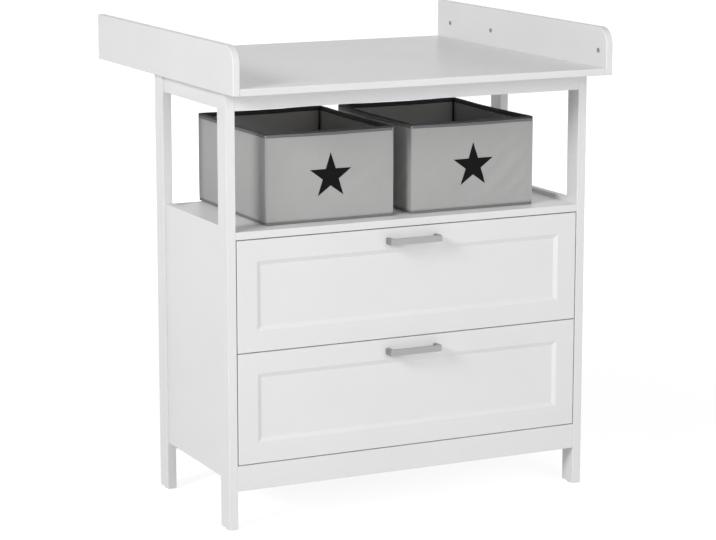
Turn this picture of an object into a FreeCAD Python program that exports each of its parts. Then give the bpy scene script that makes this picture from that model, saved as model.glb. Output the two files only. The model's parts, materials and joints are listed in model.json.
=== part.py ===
import FreeCAD, Part
import os
import re
import Sketcher

# Changing dresser. Millimetres, +Z up, -Y is the front, +X the right.
# The origin is on the floor under the middle of the changing board.

SIZES = {
    # dresser body
    "body_width": 840,
    "body_depth": 390,
    "body_height": 914,
    "post_width": 20,
    "post_depth": 45,
    "panel_thickness": 16,
    "panel_bottom": 106,
    "shelf_top": 627.5,
    "shelf_thickness": 16,
    "shelf_lip": 8.5,
    "rail_thickness": 18,
    "top_rail_height": 38,
    "bottom_rail_low": 84,
    "bottom_rail_height": 53.5,
    "base_thickness": 16,
    "back_thickness": 3,
    "back_inset": 8,
    "groove_depth": 5,
    "groove_play": 0.2,
    "edge_ease": 1.2,
    # foot glides
    "glide_height": 3,
    "glide_radius": 8,
    "glide_pin_radius": 2,
    "glide_pin_length": 12,
    # changing board and guards
    "tray_depth": 770,
    "tray_thickness": 15,
    "front_overhang": 77,
    "guard_thickness": 16,
    "guard_height": 100,
    "guard_front_radius": 36,
    "guard_rear_radius": 6,
    "guard_ease": 2.5,
    "plug_height": 50,
    "plug_front": 33,
    "plug_middle": 507,
    "plug_rear": 705,
    "plug_radius": 5,
    "plug_cap": 0.8,
    "plug_stem_radius": 4,
    "plug_stem_length": 8,
    # wooden dowels
    "dowel_radius": 4,
    "dowel_length": 28,
    "dowel_in_post": 12,
    "dowel_in_panel": 10,
    "dowel_spread": 9,
    "panel_dowel_margin": 60,
    # cam locks and their bolts
    "cam_radius": 7.4,
    "cam_height": 12,
    "cam_from_end": 24,
    "cam_margin": 45,
    "tray_cam_margin": 90,
    "bolt_radius": 3,
    "bolt_in_panel": 10,
    # angle brackets under the changing board
    "bracket_leg": 30,
    "bracket_width": 18,
    "bracket_gauge": 2,
    "bracket_hole": 18,
    "bracket_offset": 250,
    # drawer fronts
    "front_gap": 2,
    "front_thickness": 18,
    "frame_width": 44,
    "bevel_width": 9,
    "recess_depth": 4,
    # drawer boxes
    "box_clearance": 12.5,
    "box_wall": 12,
    "box_height": 180,
    "box_rear_clearance": 11,
    "box_lift": 14.5,
    "box_bottom_rise": 10,
    "box_bottom_thickness": 3,
    "box_groove": 4,
    "box_dowel_radius": 3,
    "box_dowel_length": 22,
    "box_dowel_blind": 8,
    "box_dowel_low": 40,
    "box_dowel_high": 140,
    # roller runners
    "runner_inset": 5,
    "runner_rear_inset": 15,
    "runner_gauge": 1.2,
    "runner_web": 28,
    "runner_flange": 9,
    "runner_lip": 8,
    "runner_cover": 1.5,
    "roller_radius": 10,
    "roller_width": 7.5,
    "roller_rise": 12,
    "roller_inset": 14,
    "roller_pin_radius": 2.5,
    "roller_side_gap": 0.5,
    "running_gap": 0.3,
    "pin_clearance": 0.08,
    # handles
    "handle_pitch": 112,
    "handle_leg": 8,
    "handle_height": 13,
    "handle_reach": 25,
    "handle_bar": 5,
    "handle_drop": 25.5,
    "handle_corner": 3,
    # screws
    "screw_clearance": 0.1,
    "handle_screw_radius": 2,
    "handle_screw_grip": 9,
    "handle_head_radius": 4,
    "handle_head_height": 2.2,
    "wood_screw_radius": 1.6,
    "wood_screw_length": 9.5,
    "wood_head_radius": 2.4,
    "wood_head_height": 1.1,
    "runner_screw_margin": 40,
    "drawer_screw_rise": 3.5,
    # fabric boxes
    "basket_width": 297,
    "basket_height": 192,
    "basket_middle_gap": 38,
    "basket_setback": 42,
    "basket_rear_overhang": 18,
    "basket_wall": 4,
    "basket_seat": 0.3,
    "binding_thickness": 1,
    "binding_width": 10,
    "insert_thickness": 3,
    "insert_play": 1,
    "star_radius": 50,
    "star_inner_radius": 19.5,
    "star_rise": 94,
    "star_thickness": 0.6,
    # how far a cutting block runs past the face it opens
    "overcut": 1,
}

# Places worked out from the sizes, written as expressions of the sheet's names.
PLACES = {
    "inside_half": "body_width/2 - post_width",
    "outside_half": "body_width/2",
    "panel_outer": "inside_half + panel_thickness",
    "tray_front": "-tray_depth/2",
    "tray_rear": "tray_depth/2",
    "body_front": "tray_front + front_overhang",
    "body_rear": "body_front + body_depth",
    "post_inner_front": "body_front + post_depth",
    "post_inner_rear": "body_rear - post_depth",
    "rail_back": "body_front + rail_thickness",
    "rail_front": "body_rear - rail_thickness",
    "panel_top": "shelf_top + shelf_lip",
    "shelf_low": "shelf_top - shelf_thickness",
    "top_rail_low": "body_height - top_rail_height",
    "bottom_rail_top": "bottom_rail_low + bottom_rail_height",
    "back_rear": "body_rear - back_inset",
    "back_front": "back_rear - back_thickness",
    "board_top": "body_height + tray_thickness",
    "guard_outer": "outside_half + guard_thickness",
    "front_half": "inside_half - front_gap",
    "front_height": "(shelf_low - bottom_rail_top - 3*front_gap)/2",
    "front_back": "body_front + front_thickness",
    "box_outer": "inside_half - box_clearance",
    "box_inner": "box_outer - box_wall",
    "box_rear": "back_front - box_rear_clearance",
    "runner_front": "front_back + runner_inset",
    "runner_rear": "box_rear - runner_rear_inset",
    "web_face": "box_outer + runner_gauge",
    "channel_face": "inside_half - runner_gauge",
    "front_roller_y": "runner_front + roller_inset",
    "rear_roller_y": "runner_rear - roller_inset",
}

AXES = {f"{sign}{letter}": (index, sign) for index, letter in enumerate("xyz") for sign in "+-"}
OPPOSITE = {"+": "-", "-": "+"}
TURNS = {
    "+x": FreeCAD.Rotation(FreeCAD.Vector(0, 1, 0), 90),
    "-x": FreeCAD.Rotation(FreeCAD.Vector(0, 1, 0), -90),
    "+y": FreeCAD.Rotation(FreeCAD.Vector(1, 0, 0), -90),
    "-y": FreeCAD.Rotation(FreeCAD.Vector(1, 0, 0), 90),
    "+z": FreeCAD.Rotation(),
    "-z": FreeCAD.Rotation(FreeCAD.Vector(1, 0, 0), 180),
}
SIDES = {"left": "-", "right": "+"}
STAR_POINTS = 5
LEAST_CUT = 0.5

doc = FreeCAD.newDocument("changing_dresser")
sheet = doc.addObject("Spreadsheet::Sheet", "dims")
for row, (alias, value) in enumerate(SIZES.items(), start=1):
    sheet.set(f"A{row}", alias)
    sheet.set(f"B{row}", str(value))
    sheet.setAlias(f"B{row}", alias)
doc.recompute()

nodes = {}
corners = {}


# ---------------------------------------------------------------- expressions

def spelled(text):
    """The expression with each place written out and each size read from the sheet."""
    def spell(match):
        word = match.group(0)
        if word in PLACES:
            return f"({spelled(PLACES[word])})"
        if word in SIZES:
            return f"dims.{word}"
        return word
    return re.sub(r"[a-z_]+", spell, str(text))


def bind(thing, **properties):
    for name, text in properties.items():
        thing.setExpression(name, spelled(text))


def put(thing, point):
    for letter, text in zip("xyz", point):
        thing.setExpression(f"Placement.Base.{letter}", spelled(text))


def along(point, direction, distance):
    """The point moved by a distance in one of the six directions."""
    index, sign = AXES[direction]
    moved = list(point)
    moved[index] = f"{point[index]} {sign} ({distance})"
    return tuple(moved)


def reversed_direction(direction):
    return OPPOSITE[direction[0]] + direction[1]


def outward(side):
    return SIDES[side] + "x"


def at_side(side, text):
    return f"{SIDES[side]}({text})"


def side_span(side, inner, outer):
    """A span in X on one side, given by its distances from the middle."""
    if side == "right":
        return (inner, outer)
    return (f"-({outer})", f"-({inner})")


def middle(span):
    return f"(({span[0]}) + ({span[1]}))/2"


# ---------------------------------------------------------------- solids

def node(name, thing):
    thing.Label = name
    nodes[name] = thing
    return thing


def block(body, name, kind, x, y, z):
    """A box feature in a body, given by its spans in the dresser's frame."""
    box = body.newObject(f"PartDesign::{kind}", name)
    for size, (low, high) in zip(("Length", "Width", "Height"), (x, y, z)):
        bind(box, **{size: f"({high}) - ({low})"})
    lows = (span[0] for span in (x, y, z))
    put(box, [f"({low}) - ({start})" for low, start in zip(lows, corners[body.Name])])
    return box


def board(name, x, y, z, ease="edge_ease"):
    """A board in its own body, with all its edges eased."""
    body = doc.addObject("PartDesign::Body", name)
    corners[body.Name] = (x[0], y[0], z[0])
    put(body, corners[body.Name])
    box = block(body, f"{name}_blank", "AdditiveBox", x, y, z)
    if ease:
        round_edges(body, box, ease)
    return body


def round_edges(body, base, radius, edges=None):
    """Rounds the named edges of a feature, or all of them."""
    fillet = body.newObject("PartDesign::Fillet", f"{base.Name}_round")
    fillet.Base = (base, edges or ["Edge1"])
    fillet.UseAllEdges = edges is None
    bind(fillet, Radius=radius)
    return fillet


def bore(body, start, direction, length, radius):
    """A round hole in a body, drilled from a point in one direction."""
    hole = body.newObject("PartDesign::SubtractiveCylinder", f"{body.Name}_bore")
    bind(hole, Radius=radius, Height=length)
    hole.Placement = FreeCAD.Placement(FreeCAD.Vector(), TURNS[direction])
    put(hole, [f"({at}) - ({corner})" for at, corner in zip(start, corners[body.Name])])


def rod(name, start, direction, length, radius):
    cylinder = doc.addObject("Part::Cylinder", name)
    bind(cylinder, Radius=radius, Height=length)
    cylinder.Placement = FreeCAD.Placement(FreeCAD.Vector(), TURNS[direction])
    put(cylinder, start)
    return cylinder


def crate(name, x, y, z):
    box = doc.addObject("Part::Box", name)
    for size, (low, high) in zip(("Length", "Width", "Height"), (x, y, z)):
        bind(box, **{size: f"({high}) - ({low})"})
    put(box, (x[0], y[0], z[0]))
    return box


def fused(name, members):
    joined = doc.addObject("Part::MultiFuse", name)
    joined.Shapes = members
    return joined


def cut(name, base, tool):
    result = doc.addObject("Part::Cut", name)
    result.Base = base
    result.Tool = tool
    return result


def group(name, members):
    """Several equal pieces kept as separate solids of one node."""
    gathered = doc.addObject("Part::Compound", name)
    gathered.Links = members
    return node(name, gathered)


# ---------------------------------------------------------------- fasteners

def dowel(name, boards, start, direction, length="dowel_length", radius="dowel_radius"):
    """A wooden dowel and its hole in the boards it joins."""
    hole_start = along(start, reversed_direction(direction), "groove_play")
    for body in boards:
        bore(body, hole_start, direction, f"{length} + 2*groove_play", f"{radius} + screw_clearance")
    return rod(name, start, direction, length, radius)


def screw(name, bodies, seat, direction, length, radius, head_height, head_radius):
    """A screw whose head sits on a face, with its hole in the bodies it passes."""
    for body in bodies:
        bore(body, seat, direction, f"{length} + groove_play", f"{radius} + screw_clearance")
    head = rod(f"{name}_head", seat, reversed_direction(direction), head_height, head_radius)
    shank = rod(f"{name}_shank", seat, direction, length, radius)
    return fused(name, [head, shank])


def wood_screw(name, bodies, seat, direction):
    return screw(name, bodies, seat, direction, "wood_screw_length", "wood_screw_radius",
                 "wood_head_height", "wood_head_radius")


def cam_joint(name, inner, outer, side, end, y, low, thickness):
    """A cam lock let into the underside of a board, and the bolt it pulls on."""
    centre = at_side(side, f"{end} - cam_from_end")
    level = f"{low} + {thickness}/2"
    bore(inner, (centre, y, low), "+z", "cam_height + groove_play", "cam_radius + screw_clearance")
    bolt_start = (centre, y, level)
    reach = "cam_from_end + bolt_in_panel"
    for body in (inner, outer):
        bore(body, bolt_start, outward(side), f"{reach} + groove_play", "bolt_radius + screw_clearance")
    drum = rod(f"{name}_drum", (centre, y, low), "+z", "cam_height", "cam_radius")
    mouth_start = along(bolt_start, reversed_direction(outward(side)), "groove_play")
    mouth = rod(f"{name}_mouth", mouth_start, outward(side), "2*cam_radius",
                "bolt_radius + screw_clearance")
    return cut(name, drum, mouth), rod(f"{name}_bolt", bolt_start, outward(side), reach, "bolt_radius")


# ---------------------------------------------------------------- dresser body

def make_post(end, side, y):
    post = board(f"post_{end}_{side}", side_span(side, "inside_half", "outside_half"), y,
                 ("glide_height", "body_height"))
    return node(post.Name, post)


def make_posts():
    spans = {"front": ("body_front", "post_inner_front"), "rear": ("post_inner_rear", "body_rear")}
    return {(end, side): make_post(end, side, y) for end, y in spans.items() for side in SIDES}


def make_glides(posts):
    glides = []
    for (end, side), post in posts.items():
        inset = "post_depth/2"
        y = f"body_front + {inset}" if end == "front" else f"body_rear - {inset}"
        base = (at_side(side, "outside_half - post_width/2"), y, "0")
        top = along(base, "+z", "glide_height")
        bore(post, top, "+z", "glide_pin_length + groove_play", "glide_pin_radius + screw_clearance")
        disc = rod(f"glide_disc_{end}_{side}", base, "+z", "glide_height", "glide_radius")
        pin_length = "glide_height + glide_pin_length"
        pin = rod(f"glide_pin_{end}_{side}", base, "+z", pin_length, "glide_pin_radius")
        glides.append(fused(f"glide_{end}_{side}", [disc, pin]))
    group("foot_glides", glides)


def make_cross_rails():
    inside = ("-(inside_half)", "inside_half")
    front = ("body_front", "rail_back")
    rear = ("rail_front", "body_rear")
    high = ("top_rail_low", "body_height")
    low = ("bottom_rail_low", "bottom_rail_top")
    rails = {}
    for end, y in (("front", front), ("rear", rear)):
        for level, z in (("top", high), ("bottom", low)):
            name = f"{end}_{level}_rail"
            rails[end, level] = node(name, board(name, inside, y, z))
    return rails


def make_side_boards():
    between = ("post_inner_front", "post_inner_rear")
    panels = {}
    rails = {}
    for side in SIDES:
        x = side_span(side, "inside_half", "panel_outer")
        panel = board(f"side_panel_{side}", x, between, ("panel_bottom", "panel_top"))
        rail = board(f"side_top_rail_{side}", x, between, ("top_rail_low", "body_height"))
        panels[side] = node(panel.Name, panel)
        rails[side] = node(rail.Name, rail)
    return panels, rails


def make_shelf_and_base():
    inside = ("-(inside_half)", "inside_half")
    shelf = board("shelf", inside, ("body_front", "body_rear"), ("shelf_low", "shelf_top"))
    base = board("bottom_board", inside, ("rail_back", "rail_front"),
                 ("panel_bottom", "panel_bottom + base_thickness"))
    return node("shelf", shelf), node("bottom_board", base)


def make_back(posts, shelf, rear_rail):
    """The thin back stands in grooves of the rear posts, the shelf and the rear rail."""
    reach = "groove_depth - groove_play"
    x = (f"-(inside_half + {reach})", f"inside_half + {reach}")
    z = (f"bottom_rail_top - ({reach})", f"shelf_low + {reach}")
    back = node("back_panel", board("back_panel", x, ("back_front", "back_rear"), z, ease=None))
    groove_y = ("back_front - groove_play", "back_rear + groove_play")
    groove_z = ("bottom_rail_top - groove_depth", "shelf_low + groove_depth")
    for side in SIDES:
        post_groove = side_span(side, "inside_half", "inside_half + groove_depth")
        post = posts["rear", side]
        block(post, f"{post.Name}_groove", "SubtractiveBox", post_groove, groove_y, groove_z)
    width = ("-(inside_half)", "inside_half")
    block(shelf, "shelf_groove", "SubtractiveBox", width, groove_y, ("shelf_low", groove_z[1]))
    block(rear_rail, "rear_rail_groove", "SubtractiveBox", width, groove_y,
          (groove_z[0], "bottom_rail_top"))
    return back


def make_body_dowels(posts, cross_rails, side_rails, panels, shelf, base):
    dowels = []

    def add(boards, start, direction):
        dowels.append(dowel(f"dowel_{len(dowels)}", boards, start, direction))

    rail_start = "inside_half - (dowel_length - dowel_in_post)"
    rail_middle = {"front": "body_front + rail_thickness/2", "rear": "body_rear - rail_thickness/2"}
    rail_level = {
        "top": "body_height - top_rail_height/2",
        "bottom": "bottom_rail_low + bottom_rail_height/2",
    }
    for (end, level), rail in cross_rails.items():
        for side in SIDES:
            for sign in "+-":
                z = f"{rail_level[level]} {sign} dowel_spread"
                start = (at_side(side, rail_start), rail_middle[end], z)
                add([rail, posts[end, side]], start, outward(side))

    side_middle = "inside_half + panel_thickness/2"
    rail_levels = [f"{rail_level['top']} {sign} dowel_spread" for sign in "+-"]
    panel_levels = ["panel_bottom + panel_dowel_margin", "(panel_bottom + panel_top)/2",
                    "panel_top - panel_dowel_margin"]
    ends = {
        "front": ("post_inner_front - dowel_in_post", "+y"),
        "rear": ("post_inner_rear + dowel_in_post", "-y"),
    }
    for side in SIDES:
        for end, (y, direction) in ends.items():
            for boards, levels in ((side_rails, rail_levels), (panels, panel_levels)):
                for z in levels:
                    add([boards[side], posts[end, side]], (at_side(side, side_middle), y, z), direction)
        start = at_side(side, "inside_half - (dowel_length - dowel_in_panel)")
        y = "(post_inner_front + post_inner_rear)/2"
        add([shelf, panels[side]], (start, y, "shelf_low + shelf_thickness/2"), outward(side))
        add([base, panels[side]], (start, y, "panel_bottom + base_thickness/2"), outward(side))
    group("body_dowels", dowels)


# ---------------------------------------------------------------- changing board

def make_guard(side):
    """A side guard with a round front corner and all its edges eased."""
    x = side_span(side, "outside_half", "guard_outer")
    z = ("body_height", "body_height + guard_height")
    guard = board(f"guard_{side}", x, ("tray_front", "tray_rear"), z, ease=None)
    doc.recompute()
    blank = guard.Tip
    top = blank.Shape.BoundBox.ZMax
    corner_edges = {"front": blank.Shape.BoundBox.YMin, "rear": blank.Shape.BoundBox.YMax}
    base = blank
    for end, radius in (("front", "guard_front_radius"), ("rear", "guard_rear_radius")):
        edge = edge_at(base.Shape, corner_edges[end], top)
        base = round_edges(guard, base, radius, [edge])
        base.Label = f"guard_{side}_{end}_corner"
        doc.recompute()
    round_edges(guard, base, "guard_ease")
    return node(guard.Name, guard)


def edge_at(shape, y, z):
    """Name of the edge along X that lies at one Y and Z."""
    for index, edge in enumerate(shape.Edges, start=1):
        box = edge.BoundBox
        on_line = abs(box.YMin - y) + abs(box.YMax - y) + abs(box.ZMin - z) + abs(box.ZMax - z)
        if on_line < 1e-6:
            return f"Edge{index}"
    raise ValueError("no edge on that line")


def make_tray():
    width = ("-(outside_half)", "outside_half")
    tray = board("changing_board", width, ("tray_front", "tray_rear"), ("body_height", "board_top"))
    guards = {side: make_guard(side) for side in SIDES}
    return node("changing_board", tray), guards


def make_guard_plugs(guards):
    """Grey caps that close the spare holes in the guards' inner faces."""
    plugs = []
    for side, guard in guards.items():
        for place in ("plug_front", "plug_middle", "plug_rear"):
            seat = (at_side(side, "outside_half"), f"tray_front + {place}", "body_height + plug_height")
            inward = reversed_direction(outward(side))
            bore(guard, seat, outward(side), "plug_stem_length + groove_play",
                 "plug_stem_radius + screw_clearance")
            cap = rod(f"{place}_cap_{side}", seat, inward, "plug_cap", "plug_radius")
            stem = rod(f"{place}_stem_{side}", seat, outward(side), "plug_stem_length",
                       "plug_stem_radius")
            plugs.append(fused(f"{place}_{side}", [cap, stem]))
    group("guard_plugs", plugs)


def make_cams(shelf, base, panels, tray, guards):
    locks = []
    bolts = []
    panel_places = ("post_inner_front + cam_margin", "post_inner_rear - cam_margin")
    tray_places = ("tray_front + tray_cam_margin", "0", "tray_rear - tray_cam_margin")
    for side in SIDES:
        joints = [
            (shelf, panels[side], "inside_half", panel_places, "shelf_low", "shelf_thickness"),
            (base, panels[side], "inside_half", panel_places, "panel_bottom", "base_thickness"),
            (tray, guards[side], "outside_half", tray_places, "body_height", "tray_thickness"),
        ]
        for inner, outer, end, places, low, thickness in joints:
            for y in places:
                name = f"cam_{len(locks)}"
                lock, bolt = cam_joint(name, inner, outer, side, end, y, low, thickness)
                locks.append(lock)
                bolts.append(bolt)
    group("cam_locks", locks)
    group("cam_bolts", bolts)


def make_brackets(tray, cross_rails):
    """Steel angles that hold the changing board down on the top rails."""
    brackets = []
    screws = []
    ends = {"front": ("rail_back", "+", "-y"), "rear": ("rail_front", "-", "+y")}
    for side in SIDES:
        middle_x = at_side(side, "bracket_offset")
        x = (f"{middle_x} - bracket_width/2", f"{middle_x} + bracket_width/2")
        for end, (face, sign, into_rail) in ends.items():
            name = f"bracket_{end}_{side}"
            tip = f"{face} {sign} bracket_leg"
            plate = f"{face} {sign} bracket_gauge"
            y_arm = (face, tip) if end == "front" else (tip, face)
            y_plate = (face, plate) if end == "front" else (plate, face)
            bracket = board(name, x, y_arm, ("body_height - bracket_gauge", "body_height"), ease=None)
            block(bracket, f"{name}_plate", "AdditiveBox", x, y_plate,
                  ("body_height - bracket_leg", "body_height"))
            brackets.append(bracket)
            below = (middle_x, f"{face} {sign} bracket_hole", "body_height - bracket_gauge")
            screws.append(wood_screw(f"{name}_board_screw", [bracket, tray], below, "+z"))
            behind = (middle_x, plate, "body_height - bracket_hole")
            rail = cross_rails[end, "top"]
            screws.append(wood_screw(f"{name}_rail_screw", [bracket, rail], behind, into_rail))
    group("tray_brackets", brackets)
    group("tray_bracket_screws", screws)


# ---------------------------------------------------------------- drawers

def make_front(name, low):
    """A drawer front with a shallow routed panel and sloping shoulders."""
    x = ("-(front_half)", "front_half")
    y = ("body_front", "front_back")
    front = board(f"{name}_front", x, y, (low, f"{low} + front_height"), ease=None)
    recess = front.newObject("PartDesign::SubtractiveWedge", f"{name}_recess")
    inset = "frame_width + bevel_width"
    bind(recess, Xmin="frame_width", Xmax="2*front_half - frame_width")
    bind(recess, Ymin="0", Ymax="recess_depth")
    bind(recess, Zmin="frame_width", Zmax="front_height - frame_width")
    bind(recess, X2min=inset, X2max=f"2*front_half - ({inset})")
    bind(recess, Z2min=inset, Z2max=f"front_height - ({inset})")
    round_edges(front, recess, "edge_ease")
    return node(front.Name, front)


def make_handle(name, low, front):
    """A flat bow handle and the two screws that hold it from inside the drawer."""
    half = "(handle_pitch + handle_leg)/2"
    middle_z = f"{low} + front_height - handle_drop"
    z = (f"{middle_z} - handle_height/2", f"{middle_z} + handle_height/2")
    handle = board(f"{name}_handle", (f"-{half}", half), ("body_front - handle_reach", "body_front"), z,
                   ease=None)
    gap = ("-(handle_pitch - handle_leg)/2", "(handle_pitch - handle_leg)/2")
    doc.recompute()
    blank = handle.Tip
    front_edges = [f"Edge{index}" for index, edge in enumerate(blank.Shape.Edges, start=1)
                   if edge.BoundBox.ZLength > 1 and edge.BoundBox.YMax < blank.Shape.BoundBox.YMin + 1]
    round_edges(handle, blank, "handle_corner", front_edges)
    block(handle, f"{name}_finger_gap", "SubtractiveBox", gap,
          ("body_front - handle_reach + handle_bar", "body_front"), z)
    screws = []
    for side in SIDES:
        seat = (at_side(side, "handle_pitch/2"), "front_back", middle_z)
        screws.append(screw(f"{name}_handle_screw_{side}", [front, handle], seat, "-y",
                            "front_thickness + handle_screw_grip", "handle_screw_radius",
                            "handle_head_height", "handle_head_radius"))
    node(handle.Name, handle)
    group(f"{name}_handle_screws", screws)


def make_box(name, low, front):
    """Sides, back and thin bottom of a drawer, with the bottom in grooves all round."""
    box_low = f"{low} + box_lift"
    z = (box_low, f"{box_low} + box_height")
    sides = {}
    for side in SIDES:
        part_name = f"{name}_side_{side}"
        body = board(part_name, side_span(side, "box_inner", "box_outer"), ("front_back", "box_rear"), z)
        sides[side] = node(part_name, body)
    inside = ("-(box_inner)", "box_inner")
    back = node(f"{name}_back", board(f"{name}_back", inside, ("box_rear - box_wall", "box_rear"), z))

    reach = "box_groove - groove_play"
    bottom_low = f"{box_low} + box_bottom_rise"
    bottom_top = f"{bottom_low} + box_bottom_thickness"
    bottom_x = (f"-(box_inner + {reach})", f"box_inner + {reach}")
    bottom_y = (f"front_back - ({reach})", f"box_rear - box_wall + {reach}")
    bottom = board(f"{name}_bottom", bottom_x, bottom_y, (bottom_low, bottom_top), ease=None)
    node(bottom.Name, bottom)

    groove_z = (f"{bottom_low} - groove_play", f"{bottom_top} + groove_play")
    groove_y = ("front_back - box_groove", "box_rear - box_wall + box_groove")
    for side, body in sides.items():
        x = side_span(side, "box_inner", "box_inner + box_groove")
        block(body, f"{body.Name}_groove", "SubtractiveBox", x, ("front_back", groove_y[1]), groove_z)
    front_x = ("-(box_inner + box_groove)", "box_inner + box_groove")
    block(front, f"{name}_front_groove", "SubtractiveBox", front_x,
          (groove_y[0], "front_back"), groove_z)
    block(back, f"{name}_back_groove", "SubtractiveBox", inside,
          ("box_rear - box_wall", groove_y[1]), groove_z)

    dowels = []
    for side, body in sides.items():
        for height in ("box_dowel_low", "box_dowel_high"):
            z_level = f"{box_low} + {height}"
            wall_middle = at_side(side, "box_inner + box_wall/2")
            joints = [
                (front, (wall_middle, "front_back - box_dowel_blind", z_level), "+y"),
                (back, (at_side(side, "box_inner + box_dowel_blind"), "box_rear - box_wall/2", z_level),
                 reversed_direction(outward(side))),
            ]
            for neighbour, start, direction in joints:
                dowels.append(dowel(f"{name}_dowel_{len(dowels)}", [body, neighbour], start, direction,
                                    "box_dowel_length", "box_dowel_radius"))
    group(f"{name}_dowels", dowels)
    return sides


def screw_places():
    return ("runner_front + runner_screw_margin", "(runner_front + runner_rear)/2",
            "runner_rear - runner_screw_margin")


def make_roller(name, side, y, z, inner, pin_end, pin_direction):
    """A wheel between two faces in X, with a pin that turns in the runner's web."""
    start = (at_side(side, inner), y, z)
    wheel = rod(f"{name}_wheel", start, outward(side), "roller_width", "roller_radius")
    if pin_direction == "out":
        pin = rod(f"{name}_pin", start, outward(side), f"{pin_end} - ({inner})", "roller_pin_radius")
    else:
        pin_start = (at_side(side, pin_end), y, z)
        pin = rod(f"{name}_pin", pin_start, outward(side), f"({inner}) - ({pin_end}) + roller_width",
                  "roller_pin_radius")
    return fused(name, [wheel, pin])


def make_drawer_runners(name, low, sides):
    """Angle runners under the drawer sides, with a running lip and a roller at the rear end."""
    box_low = f"{low} + box_lift"
    y = ("runner_front", "runner_rear")
    roller_z = f"{box_low} + roller_rise"
    runners = []
    screws = []
    rollers = []
    for side, wall in sides.items():
        web = board(f"{name}_runner_{side}", side_span(side, "box_outer", "web_face"), y,
                    (f"{box_low} - runner_gauge", f"{box_low} + runner_web"), ease=None)
        block(web, f"{web.Name}_foot", "AdditiveBox", side_span(side, "box_inner", "web_face"), y,
              (f"{box_low} - runner_gauge", box_low))
        block(web, f"{web.Name}_lip", "AdditiveBox",
              side_span(side, "box_outer", "web_face + runner_lip"), y,
              (f"{box_low} + runner_web - runner_gauge", f"{box_low} + runner_web"))
        axle = (at_side(side, "box_outer"), "rear_roller_y", roller_z)
        bore(web, axle, outward(side), "runner_gauge", "roller_pin_radius + pin_clearance")
        rollers.append(make_roller(f"{name}_rear_roller_{side}", side, "rear_roller_y", roller_z,
                                   "web_face + roller_side_gap", "box_outer", "in"))
        for place in screw_places():
            seat = (at_side(side, "web_face"), place, f"{box_low} + drawer_screw_rise")
            screws.append(wood_screw(f"{name}_runner_screw_{side}", [web, wall], seat,
                                     reversed_direction(outward(side))))
        runners.append(web)
    group(f"{name}_runners", runners)
    group(f"{name}_runner_screws", screws)
    group(f"{name}_rear_rollers", rollers)


def make_cabinet_runners(level, low, panels):
    """Channels on the side panels, with a roller at the front end that carries the drawer's lip.

    Returns the screws that hold them.
    """
    box_low = f"{low} + box_lift"
    track = f"{box_low} + roller_rise - roller_radius - running_gap"
    roof = f"{box_low} + runner_web + runner_cover"
    roller_z = f"{box_low} + runner_web - runner_gauge - running_gap - roller_radius"
    y = ("runner_front", "runner_rear")
    channels = []
    screws = []
    rollers = []
    for side, panel in panels.items():
        name = f"cabinet_runner_{level}_{side}"
        channel = board(name, side_span(side, "channel_face", "inside_half"), y,
                        (f"{track} - runner_gauge", f"{roof} + runner_gauge"), ease=None)
        for part, bottom in (("track", f"{track} - runner_gauge"), ("roof", roof)):
            block(channel, f"{name}_{part}", "AdditiveBox",
                  side_span(side, "inside_half - runner_flange", "inside_half"), y,
                  (bottom, f"{bottom} + runner_gauge"))
        axle = (at_side(side, "channel_face"), "front_roller_y", roller_z)
        bore(channel, axle, outward(side), "runner_gauge", "roller_pin_radius + pin_clearance")
        wheel_face = "channel_face - roller_side_gap - roller_width"
        rollers.append(make_roller(f"front_roller_{level}_{side}", side, "front_roller_y", roller_z,
                                   wheel_face, "inside_half", "out"))
        for place in screw_places():
            seat = (at_side(side, "channel_face"), place, f"{box_low} + roller_rise")
            screws.append(wood_screw(f"{name}_screw", [channel, panel], seat, outward(side)))
        channels.append(channel)
    group(f"cabinet_runners_{level}", channels)
    group(f"front_rollers_{level}", rollers)
    return screws


def make_drawer(level, low, panels):
    """One drawer and the runners it hangs on. Returns the screws in the side panels."""
    name = f"drawer_{level}"
    front = make_front(name, low)
    make_handle(name, low, front)
    sides = make_box(name, low, front)
    make_drawer_runners(name, low, sides)
    return make_cabinet_runners(level, low, panels)


# ---------------------------------------------------------------- fabric boxes

def make_star(name, centre_x, face, low):
    """A five-pointed star on the front of a fabric box."""
    body = doc.addObject("PartDesign::Body", name)
    corners[body.Name] = (centre_x, face, f"{low} + star_rise")
    put(body, corners[body.Name])
    sketch = body.newObject("Sketcher::SketchObject", f"{name}_outline")
    planes = {feature.Role: feature for feature in body.Origin.OriginFeatures}
    sketch.AttachmentSupport = [(planes["XZ_Plane"], "")]
    sketch.MapMode = "FlatFace"
    points = []
    for index in range(2*STAR_POINTS):
        radius = "star_inner_radius" if index % 2 else "star_radius"
        turn = index*180/STAR_POINTS
        points.append((f"{radius}*sin({turn})", f"{radius}*cos({turn})"))
    starts = [FreeCAD.Vector(index, index*index, 0) for index in range(len(points))]
    for index, start in enumerate(starts):
        sketch.addGeometry(Part.LineSegment(start, starts[(index + 1) % len(starts)]))
    for index in range(len(points)):
        sketch.addConstraint(Sketcher.Constraint("Coincident", index, 2, (index + 1) % len(points), 1))
    for index, (across, up) in enumerate(points):
        for kind, text in (("DistanceX", across), ("DistanceY", up)):
            number = sketch.addConstraint(Sketcher.Constraint(kind, -1, 1, index, 1, 1.0 + index))
            sketch.setExpression(f"Constraints[{number}]", spelled(text))
    pad = body.newObject("PartDesign::Pad", f"{name}_pad")
    pad.Profile = sketch
    bind(pad, Length="star_thickness")
    return node(name, body)


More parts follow.
